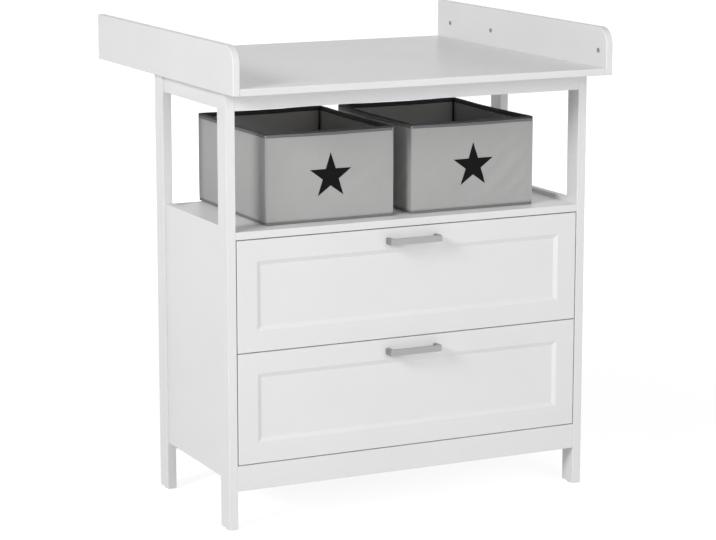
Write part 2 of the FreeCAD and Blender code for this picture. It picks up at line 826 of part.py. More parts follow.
def make_basket(side):
    """Fabric shell with an open top, the tape along its edges, a stiff base and a star."""
    name = f"basket_{side}"
    inner = "basket_middle_gap/2"
    x = side_span(side, inner, f"{inner} + basket_width")
    y = ("body_front + basket_setback", "body_rear + basket_rear_overhang")
    low = "shelf_top + basket_seat"
    z = (low, f"{low} + basket_height")

    def inset(span, amount):
        return (f"{span[0]} + ({amount})", f"{span[1]} - ({amount})")

    cloth = [inset(span, "binding_thickness") for span in (x, y, z)]
    room = "binding_thickness + basket_wall"
    room_x, room_y = inset(x, room), inset(y, room)
    room_z = (f"{low} + {room}", f"{z[1]} + overcut")
    outer = crate(f"{name}_cloth_block", *cloth)
    hollow = crate(f"{name}_room", room_x, room_y, room_z)
    node(f"{name}_shell", cut(f"{name}_shell", outer, hollow))

    cage = crate(f"{name}_tape_block", x, y, z)
    core = crate(f"{name}_tape_core", *cloth)
    bare_x, bare_y, bare_z = (inset(span, "binding_width") for span in (x, y, z))
    windows = [
        crate(f"{name}_window_x", inset(x, "-overcut"), bare_y, bare_z),
        crate(f"{name}_window_y", bare_x, inset(y, "-overcut"), bare_z),
        crate(f"{name}_window_low", bare_x, bare_y, (f"{low} - overcut", cloth[2][1])),
        crate(f"{name}_window_top", room_x, room_y, room_z),
    ]
    openings = fused(f"{name}_tape_openings", [core] + windows)
    node(f"{name}_binding", cut(f"{name}_binding", cage, openings))

    gap = f"{room} + insert_play"
    insert_z = (room_z[0], f"{room_z[0]} + insert_thickness")
    node(f"{name}_base", board(f"{name}_base", inset(x, gap), inset(y, gap), insert_z, ease=None))
    make_star(f"{name}_star", middle(x), f"{y[0]} + binding_thickness", low)


# ---------------------------------------------------------------- the whole dresser

def make_dresser():
    posts = make_posts()
    make_glides(posts)
    cross_rails = make_cross_rails()
    panels, side_rails = make_side_boards()
    shelf, base = make_shelf_and_base()
    make_back(posts, shelf, cross_rails["rear", "bottom"])
    make_body_dowels(posts, cross_rails, side_rails, panels, shelf, base)
    tray, guards = make_tray()
    make_guard_plugs(guards)
    make_cams(shelf, base, panels, tray, guards)
    make_brackets(tray, cross_rails)
    lower = "bottom_rail_top + front_gap"
    upper = f"{lower} + front_height + front_gap"
    runner_screws = make_drawer("lower", lower, panels) + make_drawer("upper", upper, panels)
    group("cabinet_runner_screws", runner_screws)
    for side in SIDES:
        make_basket(side)


def check_features():
    """Stops if a feature failed, or if a cut took nothing away."""
    for thing in doc.Objects:
        if {"Invalid", "Error"} & set(thing.State):
            raise RuntimeError(f"{thing.Name} is {thing.State}")
        if thing.TypeId.startswith("PartDesign::Subtractive"):
            taken = thing.BaseFeature.Shape.Volume - thing.Shape.Volume
            if taken < LEAST_CUT:
                raise RuntimeError(f"{thing.Name} cuts nothing")
    for name, thing in nodes.items():
        if thing.Shape.isNull() or not thing.Shape.isValid():
            raise RuntimeError(f"{name} has no valid shape")


make_dresser()
doc.recompute()
check_features()
os.makedirs("parts", exist_ok=True)
for name, thing in nodes.items():
    thing.Shape.exportStep(f"parts/{name}.step")
print(len(nodes), "nodes")
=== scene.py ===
"""Changing dresser: looks around the fixed frame. Metres, +Z up, -Y the front."""
import json
import math
from collections import namedtuple

import bmesh
import bpy
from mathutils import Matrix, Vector, noise


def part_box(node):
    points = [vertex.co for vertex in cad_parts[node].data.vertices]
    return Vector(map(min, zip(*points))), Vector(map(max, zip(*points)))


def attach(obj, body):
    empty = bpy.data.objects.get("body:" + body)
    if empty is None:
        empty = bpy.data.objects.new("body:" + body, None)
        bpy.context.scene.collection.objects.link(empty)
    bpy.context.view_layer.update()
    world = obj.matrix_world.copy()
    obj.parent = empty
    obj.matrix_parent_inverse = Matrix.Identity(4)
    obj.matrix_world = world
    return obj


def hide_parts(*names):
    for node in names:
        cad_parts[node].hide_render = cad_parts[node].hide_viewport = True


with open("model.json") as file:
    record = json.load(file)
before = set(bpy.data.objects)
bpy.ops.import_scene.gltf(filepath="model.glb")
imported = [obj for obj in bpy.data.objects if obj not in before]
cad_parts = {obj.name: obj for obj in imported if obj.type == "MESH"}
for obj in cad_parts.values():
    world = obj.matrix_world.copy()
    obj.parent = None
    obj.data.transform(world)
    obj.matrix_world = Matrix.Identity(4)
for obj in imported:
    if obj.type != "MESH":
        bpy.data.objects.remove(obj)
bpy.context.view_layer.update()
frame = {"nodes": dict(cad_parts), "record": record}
nodes = frame["nodes"]

SIDES = ("left", "right")
MM = 0.001
UP = Vector((0, 0, 1))


# ---------------------------------------------------------------- camera

CAMERA_PLACE = Vector((-2.352, -4.913, 1.531))
CAMERA_TURN = 25.806
CAMERA_PITCH = 11.10
CAMERA_LENS = 126.09
SENSOR_WIDTH = 36.0


def make_camera():
    data = bpy.data.cameras.new("camera")
    data.lens = CAMERA_LENS
    data.sensor_width = SENSOR_WIDTH
    data.clip_end = 200.0
    camera = bpy.data.objects.new("camera", data)
    bpy.context.scene.collection.objects.link(camera)
    camera.location = CAMERA_PLACE
    camera.rotation_euler = (math.radians(90 - CAMERA_PITCH), 0, math.radians(-CAMERA_TURN))
    bpy.context.scene.camera = camera


# ---------------------------------------------------------------- shader helpers

NOISE_LOW = 0.3
NOISE_HIGH = 0.7
RAMP_START = 0.25
RAMP_SPAN = 0.5


def new_material(name):
    material = bpy.data.materials.new(name)
    material.use_nodes = True
    tree = material.node_tree
    return material, tree, tree.nodes["Principled BSDF"]


def set_inputs(node, values):
    for label, value in values.items():
        node.inputs[label].default_value = value


def math_node(tree, operation, first, second=None):
    """A Math node. Each operand is a number or another node's output."""
    node = tree.nodes.new("ShaderNodeMath")
    node.operation = operation
    for socket, operand in zip(node.inputs, (first, second)):
        if operand is None:
            continue
        if isinstance(operand, (int, float)):
            socket.default_value = operand
        else:
            tree.links.new(operand, socket)
    return node.outputs[0]


def coordinates(tree, kind="Object", stretch=(1, 1, 1)):
    """Object coordinates are the dresser's own metres; UV is metres along the cloth."""
    source = tree.nodes.new("ShaderNodeTexCoord")
    mapping = tree.nodes.new("ShaderNodeMapping")
    mapping.inputs["Scale"].default_value = stretch
    tree.links.new(source.outputs[kind], mapping.inputs["Vector"])
    return mapping.outputs["Vector"]


def noise_node(tree, place, scale, detail=3.0, roughness=0.5, distortion=0.0):
    node = tree.nodes.new("ShaderNodeTexNoise")
    set_inputs(node, {"Scale": scale, "Detail": detail, "Roughness": roughness, "Distortion": distortion})
    tree.links.new(place, node.inputs["Vector"])
    return node.outputs["Fac"]


def spread(tree, factor, low, high):
    """Maps a factor around a half, as noise gives it, to the range from low to high."""
    node = tree.nodes.new("ShaderNodeMapRange")
    set_inputs(node, {"From Min": NOISE_LOW, "From Max": NOISE_HIGH, "To Min": low, "To Max": high})
    tree.links.new(factor, node.inputs["Value"])
    return node.outputs["Result"]


def tinted(tree, factor, colours):
    """A colour ramp with evenly spread stops in the range that noise reaches."""
    ramp = tree.nodes.new("ShaderNodeValToRGB")
    steps = ramp.color_ramp.elements
    while len(steps) < len(colours):
        steps.new(0.5)
    for index, colour in enumerate(colours):
        steps[index].position = RAMP_START + RAMP_SPAN*index/(len(colours) - 1)
        steps[index].color = (*colour, 1)
    tree.links.new(factor, ramp.inputs["Fac"])
    return ramp.outputs["Color"]


def bump_node(tree, height, distance, strength=1.0, under=None):
    node = tree.nodes.new("ShaderNodeBump")
    set_inputs(node, {"Distance": distance, "Strength": strength})
    tree.links.new(height, node.inputs["Height"])
    if under is not None:
        tree.links.new(under, node.inputs["Normal"])
    return node.outputs["Normal"]


def shade(colour, amount):
    return tuple(channel*amount for channel in colour)


# ---------------------------------------------------------------- board and metal materials

GRAIN_LENGTH = 25
BRUSH_ACROSS = 2600
BRUSH_ALONG = 30
ZINC_CRYSTALS = 420.0


def painted(name, colour, roughness, coat=0.0, peel=0.05, patch=0.02, uneven=0.05, gleam=0.5):
    """Sprayed paint: a faint orange peel, wider unevenness and slightly uneven gloss."""
    material, tree, shader = new_material(name)
    place = coordinates(tree)
    patches = noise_node(tree, place, scale=5.0, detail=2.0)
    colours = tinted(tree, patches, [shade(colour, 1 - patch), colour, shade(colour, 1 + patch/2)])
    tree.links.new(colours, shader.inputs["Base Color"])
    gloss = noise_node(tree, place, scale=60.0, detail=4.0)
    tree.links.new(spread(tree, gloss, roughness - uneven, roughness + uneven), shader.inputs["Roughness"])
    wide = noise_node(tree, place, scale=25.0, detail=1.0)
    waves = bump_node(tree, wide, distance=0.12*MM, strength=peel*2)
    fine = noise_node(tree, place, scale=700.0, detail=2.0)
    dimples = bump_node(tree, fine, distance=0.05*MM, strength=peel*4, under=waves)
    tree.links.new(dimples, shader.inputs["Normal"])
    set_inputs(shader, {"Coat Weight": coat, "Coat Roughness": 0.12, "Specular IOR Level": gleam})
    return material


def grained(name, colours, roughness, along, grain, depth):
    """Wood or wood-look foil with its grain along one axis."""
    material, tree, shader = new_material(name)
    stretch = [grain]*3
    stretch["XYZ".index(along)] = grain/GRAIN_LENGTH
    fibres = noise_node(tree, coordinates(tree, stretch=stretch), scale=1.0, detail=5.0, roughness=0.6,
                        distortion=0.4)
    tree.links.new(tinted(tree, fibres, colours), shader.inputs["Base Color"])
    tree.links.new(spread(tree, fibres, roughness + 0.06, roughness - 0.04), shader.inputs["Roughness"])
    tree.links.new(bump_node(tree, fibres, depth), shader.inputs["Normal"])
    return material


def brushed_metal(name, colour, roughness, along="X"):
    """Satin metal with long fine brush lines."""
    material, tree, shader = new_material(name)
    stretch = [BRUSH_ACROSS]*3
    stretch["XYZ".index(along)] = BRUSH_ALONG
    lines = noise_node(tree, coordinates(tree, stretch=stretch), scale=1.0, detail=4.0, roughness=0.65)
    clouds = noise_node(tree, coordinates(tree), scale=90.0)
    tree.links.new(tinted(tree, lines, [shade(colour, 0.88), colour, shade(colour, 1.08)]),
                   shader.inputs["Base Color"])
    mixed = math_node(tree, "ADD", math_node(tree, "MULTIPLY", lines, 0.6),
                      math_node(tree, "MULTIPLY", clouds, 0.4))
    tree.links.new(spread(tree, mixed, roughness - 0.07, roughness + 0.09), shader.inputs["Roughness"])
    tree.links.new(bump_node(tree, lines, distance=0.03*MM, strength=0.6), shader.inputs["Normal"])
    set_inputs(shader, {"Metallic": 1.0, "Anisotropic": 0.4})
    return material


def zinc_plate(name):
    """Bright zinc on fittings: small cloudy crystals and a little blue."""
    material, tree, shader = new_material(name)
    cells = tree.nodes.new("ShaderNodeTexVoronoi")
    cells.inputs["Scale"].default_value = ZINC_CRYSTALS
    place = coordinates(tree)
    tree.links.new(place, cells.inputs["Vector"])
    clouds = noise_node(tree, place, scale=160.0, detail=4.0)
    mixed = math_node(tree, "ADD", math_node(tree, "MULTIPLY", cells.outputs["Distance"], 0.5),
                      math_node(tree, "MULTIPLY", clouds, 0.6))
    colours = [(0.50, 0.52, 0.55), (0.62, 0.63, 0.65), (0.70, 0.71, 0.72)]
    tree.links.new(tinted(tree, mixed, colours), shader.inputs["Base Color"])
    tree.links.new(spread(tree, mixed, 0.26, 0.42), shader.inputs["Roughness"])
    tree.links.new(bump_node(tree, mixed, distance=0.04*MM), shader.inputs["Normal"])
    shader.inputs["Metallic"].default_value = 1.0
    return material


def moulded(name, colour, roughness):
    """Moulded plastic: fine matt texture, with faint flow marks."""
    material, tree, shader = new_material(name)
    place = coordinates(tree)
    flow = noise_node(tree, place, scale=120.0, detail=2.0, distortion=0.8)
    tree.links.new(tinted(tree, flow, [shade(colour, 0.95), colour, shade(colour, 1.04)]),
                   shader.inputs["Base Color"])
    tree.links.new(spread(tree, flow, roughness - 0.05, roughness + 0.06), shader.inputs["Roughness"])
    grit = noise_node(tree, place, scale=2600.0, detail=2.0)
    tree.links.new(bump_node(tree, grit, distance=0.04*MM), shader.inputs["Normal"])
    return material


# ---------------------------------------------------------------- cloth materials

YARN_ACROSS = (25, 900, 1)
YARN_UPWARD = (900, 25, 1)
CLOUDS = (14, 14, 1)
YARN_SHARE = 0.75
CLOUD_SHARE = 0.25


def woven(name, colours, thread, depth, roughness, sheen=0.15, gleam=0.25):
    """Plain weave on UV metres: threads cross over and under, with uneven, slubbed yarn."""
    material, tree, shader = new_material(name)
    place = coordinates(tree, "UV")
    split = tree.nodes.new("ShaderNodeSeparateXYZ")
    tree.links.new(place, split.inputs["Vector"])
    turn = math.pi/thread
    waves = [math_node(tree, "SINE", math_node(tree, "MULTIPLY", split.outputs[axis], turn))
             for axis in (0, 1)]
    crossing = math_node(tree, "MULTIPLY", waves[0], waves[1])
    over = math_node(tree, "GREATER_THAN", crossing, 0.0)
    warp = math_node(tree, "MULTIPLY", math_node(tree, "ABSOLUTE", waves[0]), over)
    weft_share = math_node(tree, "SUBTRACT", 1.0, over)
    weft = math_node(tree, "MULTIPLY", math_node(tree, "ABSOLUTE", waves[1]), weft_share)
    height = math_node(tree, "ADD", warp, weft)

    across = noise_node(tree, coordinates(tree, "UV", YARN_ACROSS), scale=1.0)
    upward = noise_node(tree, coordinates(tree, "UV", YARN_UPWARD), scale=1.0)
    yarn = math_node(tree, "MULTIPLY", math_node(tree, "ADD", across, upward), 0.5)
    clouds = noise_node(tree, coordinates(tree, "UV", CLOUDS), scale=1.0, detail=4.0)
    shade_mix = math_node(tree, "ADD", math_node(tree, "MULTIPLY", yarn, YARN_SHARE),
                          math_node(tree, "MULTIPLY", clouds, CLOUD_SHARE))
    tree.links.new(tinted(tree, shade_mix, colours), shader.inputs["Base Color"])
    tree.links.new(spread(tree, clouds, roughness - 0.05, roughness + 0.05), shader.inputs["Roughness"])
    fuzz = bump_node(tree, yarn, distance=0.15*MM, strength=0.5)
    weave = bump_node(tree, height, depth, strength=0.7, under=fuzz)
    tree.links.new(weave, shader.inputs["Normal"])
    set_inputs(shader, {"Sheen Weight": sheen, "Sheen Roughness": 0.5, "Specular IOR Level": gleam})
    return material


# ---------------------------------------------------------------- what each slot looks like

WHITE = (0.815, 0.815, 0.822)
CLOTH_GREY = (0.455, 0.452, 0.448)
TAPE_GREY = (0.055, 0.054, 0.058)
# Painted shade: the band below the rim tape is the box's cloth in shade, given this darker grey; the foot
# tape has it as its own colour.
HEM_SHADE_AND_FOOT_TAPE_GREY = (0.215, 0.210, 0.214)
LINING_GREY = (0.385, 0.380, 0.368)
PRINT_BLACK = (0.008, 0.008, 0.009)


def three_tones(colour, contrast):
    return [shade(colour, 1 - contrast), colour, shade(colour, 1 + contrast)]


def make_materials():
    return {
        "white_paint": painted("white_paint", WHITE, 0.38),
        "board_lacquer": painted("board_lacquer", WHITE, 0.26, peel=0.004, uneven=0.01, gleam=0.12),
        "white_hardboard": painted("white_hardboard", (0.78, 0.78, 0.765), 0.5, peel=0.10, patch=0.04),
        "drawer_board": grained("drawer_board", three_tones((0.80, 0.80, 0.80), 0.015), 0.45, "Y", 500,
                                0.04*MM),
        "beech": grained("beech", [(0.52, 0.36, 0.20), (0.66, 0.48, 0.30), (0.72, 0.55, 0.36)], 0.55, "Z",
                         900, 0.08*MM),
        "satin_metal": brushed_metal("satin_metal", (0.37, 0.37, 0.38), 0.34),
        "zinc": zinc_plate("zinc"),
        "white_enamel": painted("white_enamel", (0.79, 0.79, 0.79), 0.30, coat=0.3, peel=0.10),
        "roller_plastic": moulded("roller_plastic", (0.74, 0.74, 0.73), 0.36),
        "glide_plastic": moulded("glide_plastic", (0.70, 0.70, 0.68), 0.45),
        "grey_plastic": moulded("grey_plastic", (0.24, 0.24, 0.25), 0.42),
        "grey_cloth": woven("grey_cloth", three_tones(CLOTH_GREY, 0.07), 0.75*MM, 0.16*MM, 0.82),
        "dark_tape": woven("dark_tape", three_tones(TAPE_GREY, 0.12), 0.55*MM, 0.16*MM, 0.75, 0.1),
        # The band below the rim tape gets this darker grey as painted shade; the foot tape takes it as its
        # own colour.
        "hem_shade_and_foot_tape": woven("hem_shade_and_foot_tape", three_tones(HEM_SHADE_AND_FOOT_TAPE_GREY, 0.12), 0.55*MM, 0.16*MM, 0.78, 0.1),
        "star_cloth": woven("star_cloth", three_tones(PRINT_BLACK, 0.30), 0.75*MM, 0.10*MM, 0.7, 0.0, 0.08),
        "insert_board": woven("insert_board", three_tones(LINING_GREY, 0.12), 0.50*MM, 0.10*MM, 0.85),
    }


def dress_nodes(looks):
    """Every CAD node takes the look of its own slot in the record."""
    for row in frame["record"]["subparts"]:
        thing = nodes[row["node"]]
        thing.data.materials.clear()
        thing.data.materials.append(looks[row["material_slot"]])


# ---------------------------------------------------------------- fabric boxes

CORNER_RADIUS = 5*MM
CORNER_STEPS = 5
SIDE_STEPS = 36
WALL_ROWS = 22
FLOOR_RINGS = 12
WALL_THICKNESS = 1.6*MM
LINING_GAP = 2.3*MM
LINING_THICKNESS = 1.2*MM
RIM_SAG = 1.3*MM
BELLY = 2.4*MM
TOP_LEAN = 2.2*MM
WRINKLE = 0.9*MM
WRINKLE_WAVES = 3.1
WRINKLE_ALONG = 1.6
WRINKLE_UP = 1.9
WRINKLE_SHIFT = 2.4
CRUMPLE = 1.1*WRINKLE
CRUMPLE_ALONG = 14
CRUMPLE_UP = 2.6
CRUMPLE_AT_CORNER = 0.25
FOLD_DEPTH = {"left": 0.9*MM, "right": 2.1*MM}
FOLD_PITCH = 58*MM
FOLD_SLANT = 1.3
FOLD_LEFT_SHARE = 0.25
FOLD_ENDING = 2.2
FOLD_BEND = 0.5
FOLD_BEND_ALONG = 9
FOLD_BEND_UP = 1.7
TAPE_THICKNESS = 0.8*MM
TAPE_DROP = 3.4*MM
TAPE_DROP_INSIDE = 9.0*MM
TAPE_PUFF = 0.25*MM
TAPE_PUFF_ALONG = 90
HEM_DROP = 9.6*MM
HEM_THICKNESS = 0.45*MM
WELT_RADIUS = 1.1*MM
WELT_WIDENING = 1.25
WELT_PROUD = 0.35*MM
WELT_START = 0.03
WELT_REACH = 0.95
WELT_ROWS = 26
WELT_SIDES = 8
STITCH_PITCH = 4.2*MM
STITCH_ABOVE_EDGE = 1.6*MM
STITCH_HALF_LENGTH = 1.45*MM
STITCH_HALF_WIDTH = 0.28*MM
STITCH_PROUD = 0.22*MM
STITCH_SIDES = 6
STITCH_RINGS = ((-1, 0.35), (-0.5, 1), (0.5, 1), (1, 0.35))
CLOTH_INSET = 1.5*MM
CLOTH_LIFT = 0.9*MM
LINING_LIFT = 2.6*MM
RIM_INSET = 0.6*MM
RIM_RIPPLE = 0.35*MM
RIM_RIPPLE_ALONG = 30
FOOT_RISE = 5.5*MM
FOOT_FOLD = 8*MM
INSERT_GAP = 1.5*MM
INSERT_LIFT = 0.4*MM
INSERT_SOFT = 2.5*MM
INSERT_CROWN = 0.9*MM
INSERT_RIPPLE = 0.5*MM
INSERT_RIPPLE_ALONG = 22
INSERT_STEPS = 28
INSERT_RINGS = 14

# Each kind of ripple takes a layer of its own out of the noise.
TAPE_LAYER = 2
FOLD_LAYER = 3
RIM_LAYER = 5
INSERT_LAYER = 9

# A place on the perimeter seen from above, the direction outwards, how far along its wall it lies
# from -1 to 1, the length of cloth up to it, and the number of its wall.
Station = namedtuple("Station", "place outward along length wall")


class BoxCloth:
    """The sagging walls of one fabric box, as a surface over its perimeter and height."""

    def __init__(self, side):
        self.side = side
        self.body = f"basket_{side}"
        self.low, self.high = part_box(f"{self.body}_shell")
        self.tape_low, self.tape_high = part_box(f"{self.body}_binding")
        self.height = self.high.z - self.low.z
        self.seed = Vector((7.3, 2.1, 4.7)) if side == "left" else Vector((1.9, 8.4, 3.2))
        self.stations = self.make_stations()

    def make_stations(self):
        low, high = self.low, self.high
        r = CORNER_RADIUS
        corners = [
            (Vector((low.x + r, low.y + r)), 180), (Vector((high.x - r, low.y + r)), 270),
            (Vector((high.x - r, high.y - r)), 0), (Vector((low.x + r, high.y - r)), 90),
        ]
        stations = []
        length = 0.0
        for index, (centre, start) in enumerate(corners):
            for step in range(CORNER_STEPS):
                angle = math.radians(start + 90*step/CORNER_STEPS)
                outward = Vector((math.cos(angle), math.sin(angle)))
                stations.append(Station(centre + r*outward, outward, 1.0, length, index))
                length += r*math.pi/2/CORNER_STEPS
            following = corners[(index + 1) % 4][0]
            span = following - centre
            angle = math.radians(start + 90)
            outward = Vector((math.cos(angle), math.sin(angle)))
            for step in range(SIDE_STEPS):
                share = step/SIDE_STEPS
                place = centre + r*outward + span*share
                stations.append(Station(place, outward, 2*share - 1, length, index))
                length += span.length/SIDE_STEPS
        return stations

    def ripple(self, x, y, layer):
        """Smooth noise from -1 to 1 that is this box's own."""
        return noise.noise(Vector((x, y, layer)) + self.seed)

    def swell(self, station, share):
        """How far the cloth stands out of the box's flat wall at this share of its height."""
        middle = 1 - station.along*station.along
        arch = math.sin(math.pi*min(max(share, 0), 1))
        belly = BELLY*arch*middle
        lean = -TOP_LEAN*share**3*middle
        tilt = WRINKLE_UP if station.wall % 2 else -WRINKLE_UP
        slope = station.along*WRINKLE_ALONG + share*tilt + WRINKLE_SHIFT*station.wall
        pull = WRINKLE*math.sin(WRINKLE_WAVES*slope)*middle*arch
        place = station.place
        uneven = self.ripple(place.x*CRUMPLE_ALONG, place.y*CRUMPLE_ALONG, share*CRUMPLE_UP)
        crumple = CRUMPLE*uneven*(CRUMPLE_AT_CORNER + middle)
        return belly + lean + pull + crumple + self.fold(station, share, middle) - CLOTH_INSET

    def fold(self, station, share, middle):
        """Slanting folds, strongest towards the right-hand end of each wall seen from outside."""
        rise = min(max(share, 0), 1)
        bend = FOLD_BEND*self.ripple(station.length*FOLD_BEND_ALONG, rise*FOLD_BEND_UP, FOLD_LAYER)
        turns = (station.length - FOLD_SLANT*rise*self.height)/FOLD_PITCH + bend
        strength = FOLD_LEFT_SHARE + (1 - FOLD_LEFT_SHARE)*max(station.along, 0)
        reach = strength*min(1, FOLD_ENDING*middle)*math.sin(math.pi*rise)
        return FOLD_DEPTH[self.side]*reach*math.sin(2*math.pi*turns)

    def rim(self, station):
        """Height of the rim, which sags between the corners."""
        middle = 1 - station.along*station.along
        place = station.place
        uneven = self.ripple(place.x*RIM_RIPPLE_ALONG, place.y*RIM_RIPPLE_ALONG, RIM_LAYER)
        return self.high.z - RIM_SAG*middle*middle + RIM_RIPPLE*uneven - RIM_INSET

    def off_wall(self, station, share, offset, z):
        """A point at height z, offset outwards from the cloth at a share of its height."""
        out = self.swell(station, share) + offset
        place, outward = station.place, station.outward
        return Vector((place.x + outward.x*out, place.y + outward.y*out, z))

    def point(self, station, share, offset):
        """A point of the wall, a share of the way up to the rim and offset outwards."""
        z = self.low.z + (self.rim(station) - self.low.z)*share
        return self.off_wall(station, share, offset, z)

    def below_rim(self, station, offset, drop):
        """A point offset outwards from the wall, a drop below the rim."""
        rim = self.rim(station)
        share = 1 - max(drop, 0)/(rim - self.low.z)
        return self.off_wall(station, share, offset, rim - drop)


def new_piece(name, verts, faces, uvs, material, cloth, replaced=()):
    """A mesh piece that rides with its box. uvs holds one pair for each vertex, in metres."""
    mesh = bpy.data.meshes.new(name)
    mesh.from_pydata([tuple(v) for v in verts], [], faces)
    layer = mesh.uv_layers.new(name="metres")
    for loop in mesh.loops:
        layer.data[loop.index].uv = uvs[loop.vertex_index]
    for polygon in mesh.polygons:
        polygon.use_smooth = True
    mesh.materials.append(material)
    piece = bpy.data.objects.new(name, mesh)
    bpy.context.scene.collection.objects.link(piece)
    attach(piece, cloth.body)
    if replaced:
        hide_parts(*replaced)
    return piece


def face_out(piece):
    """Turns every face of a closed mesh outwards."""
    work = bmesh.new()
    work.from_mesh(piece.data)
    bmesh.ops.recalc_face_normals(work, faces=work.faces)
    work.to_mesh(piece.data)
    work.free()


def ring_faces(first, rings, sides):
    """Faces between rings of points that are numbered one after another from first on."""
    faces = []
    for start in range(first, first + (rings - 1)*sides, sides):
        for step in range(sides):
            following = (step + 1) % sides
            faces.append((start + step, start + following,
                          start + sides + following, start + sides + step))
    return faces


def tube_faces(first, rings, sides):
    """The same, with a cap on the first and on the last ring."""
    last = first + (rings - 1)*sides
    caps = [tuple(range(start, start + sides)) for start in (first, last)]
    return ring_faces(first, rings, sides) + caps


def tub_surface(cloth, offset, floor_z, first):
    """Rings of a tub, from the rim down the wall, then shrinking across its floor to the middle.

    Returns points, uvs and faces. The points are numbered from first on.
    """
    stations = cloth.stations
    count = len(stations)
    points, uvs = [], []
    start = (floor_z - cloth.low.z)/cloth.height
    for row in range(WALL_ROWS + 1):
        share = 1 - (1 - start)*row/WALL_ROWS
        for station in stations:
            points.append(cloth.point(station, share, offset))
            uvs.append((station.length, share*cloth.height))
    middle = (cloth.low + cloth.high)/2
    ring = points[-count:]
    for step in range(1, FLOOR_RINGS):
        shrink = 1 - step/FLOOR_RINGS
        for point in ring:
            x = middle.x + (point.x - middle.x)*shrink
            y = middle.y + (point.y - middle.y)*shrink
            points.append(Vector((x, y, point.z)))
            uvs.append((x, y))
    points.append(Vector((middle.x, middle.y, ring[0].z)))
    uvs.append((middle.x, middle.y))
    rings = WALL_ROWS + FLOOR_RINGS
    faces = ring_faces(first, rings, count)
    last = first + (rings - 1)*count
    hub = first + len(points) - 1
    for index in range(count):
        faces.append((last + index, last + (index + 1) % count, hub))
    return points, uvs, faces


def make_tub(cloth, name, outer, inner, floors, material, replaced=()):
    """A closed fabric tub between two surfaces, joined along the rim."""
    outer_points, outer_uvs, outer_faces = tub_surface(cloth, outer, floors[0], 0)
    first = len(outer_points)
    inner_points, inner_uvs, inner_faces = tub_surface(cloth, inner, floors[1], first)
    count = len(cloth.stations)
    rim = [(index, (index + 1) % count, first + (index + 1) % count, first + index)
           for index in range(count)]
    piece = new_piece(name, outer_points + inner_points, outer_faces + inner_faces + rim,
                      outer_uvs + inner_uvs, material, cloth, replaced)
    face_out(piece)
    return piece


def sweep(cloth, name, section, material, replaced=()):
    """Sweeps a closed section round the box. section gives the points at a station."""
    points, uvs, faces = [], [], []
    count = len(cloth.stations)
    for station in cloth.stations:
        ring = section(station)
        run = 0.0
        for index, point in enumerate(ring):
            points.append(point)
            uvs.append((station.length, run))
            run += (ring[(index + 1) % len(ring)] - point).length
    size = len(section(cloth.stations[0]))
    for index in range(count):
        after = (index + 1) % count
        for step in range(size):
            following = (step + 1) % size
            faces.append((index*size + step, after*size + step, after*size + following,
                          index*size + following))
    piece = new_piece(name, points, faces, uvs, material, cloth, replaced)
    face_out(piece)
    return piece


def rim_tape(cloth, looks):
    """Folded tape over the rim: down the outside, round the top and down the inside."""
    inside = -(LINING_GAP + LINING_THICKNESS)
    thick = TAPE_THICKNESS

    def section(station):
        place = station.place
        puff = TAPE_PUFF*cloth.ripple(place.x*TAPE_PUFF_ALONG, place.y*TAPE_PUFF_ALONG, TAPE_LAYER)

        def at(offset, drop):
            return cloth.below_rim(station, offset, drop)

        outside_leg = [at(0.15*MM, TAPE_DROP), at(thick*0.7 + puff, TAPE_DROP + 0.1*MM),
                       at(thick + puff, TAPE_DROP*0.75), at(thick + puff, TAPE_DROP*0.4)]
        top = [at(thick*0.8, 0.3*MM), at(0, -0.9*thick), at(inside/2, -1.1*thick),
               at(inside, -0.9*thick), at(inside - thick*0.8, 0.3*MM)]
        inside_leg = [at(inside - thick - puff, TAPE_DROP_INSIDE*0.5),
                      at(inside - thick - puff, TAPE_DROP_INSIDE*0.85),
                      at(inside - thick*0.7, TAPE_DROP_INSIDE), at(inside - 0.1*MM, TAPE_DROP_INSIDE)]
        under = [at(inside, TAPE_DROP_INSIDE*0.5), at(inside, 0.1*MM), at(0.1*MM, 0.1*MM)]
        return outside_leg + top + inside_leg + under

    return sweep(cloth, f"{cloth.body}_rim_tape", section, looks["dark_tape"],
                 (f"{cloth.body}_binding",))


def painted_shade_hem_band(cloth, looks):
    """A flat band sewn on the outside below the rim tape; its darker grey is painted shade under the tape.
    """
    top = TAPE_DROP - 1.2*MM
    sunk = 0.05*MM

    def section(station):
        corners = [(sunk, HEM_DROP), (HEM_THICKNESS*0.7, HEM_DROP), (HEM_THICKNESS, HEM_DROP - 0.5*MM),
                   (HEM_THICKNESS, top), (sunk, top)]
        return [cloth.below_rim(station, offset, drop) for offset, drop in corners]

    return sweep(cloth, f"{cloth.body}_painted_shade_hem_band", section, looks["hem_shade_and_foot_tape"])


def foot_tape(cloth, looks):
    """Tape sewn round the lower edge, folded under the bottom."""
    thick = TAPE_THICKNESS
    low = cloth.tape_low.z

    def section(station):
        def at(offset, z):
            return cloth.off_wall(station, (z - cloth.low.z)/cloth.height, offset, z)

        outside = [at(0.1*MM, low + FOOT_RISE), at(0.6*thick, low + FOOT_RISE),
                   at(thick, low + FOOT_RISE*0.7), at(thick, low + FOOT_RISE*0.3),
                   at(0.6*thick, low + 0.2*MM), at(0, low)]
        under = [at(-FOOT_FOLD, low), at(-FOOT_FOLD, low + thick),
                 at(-thick, low + thick + 0.1*MM), at(-0.1*MM, low + thick)]
        return outside + under

    return sweep(cloth, f"{cloth.body}_foot_tape", section, looks["hem_shade_and_foot_tape"])


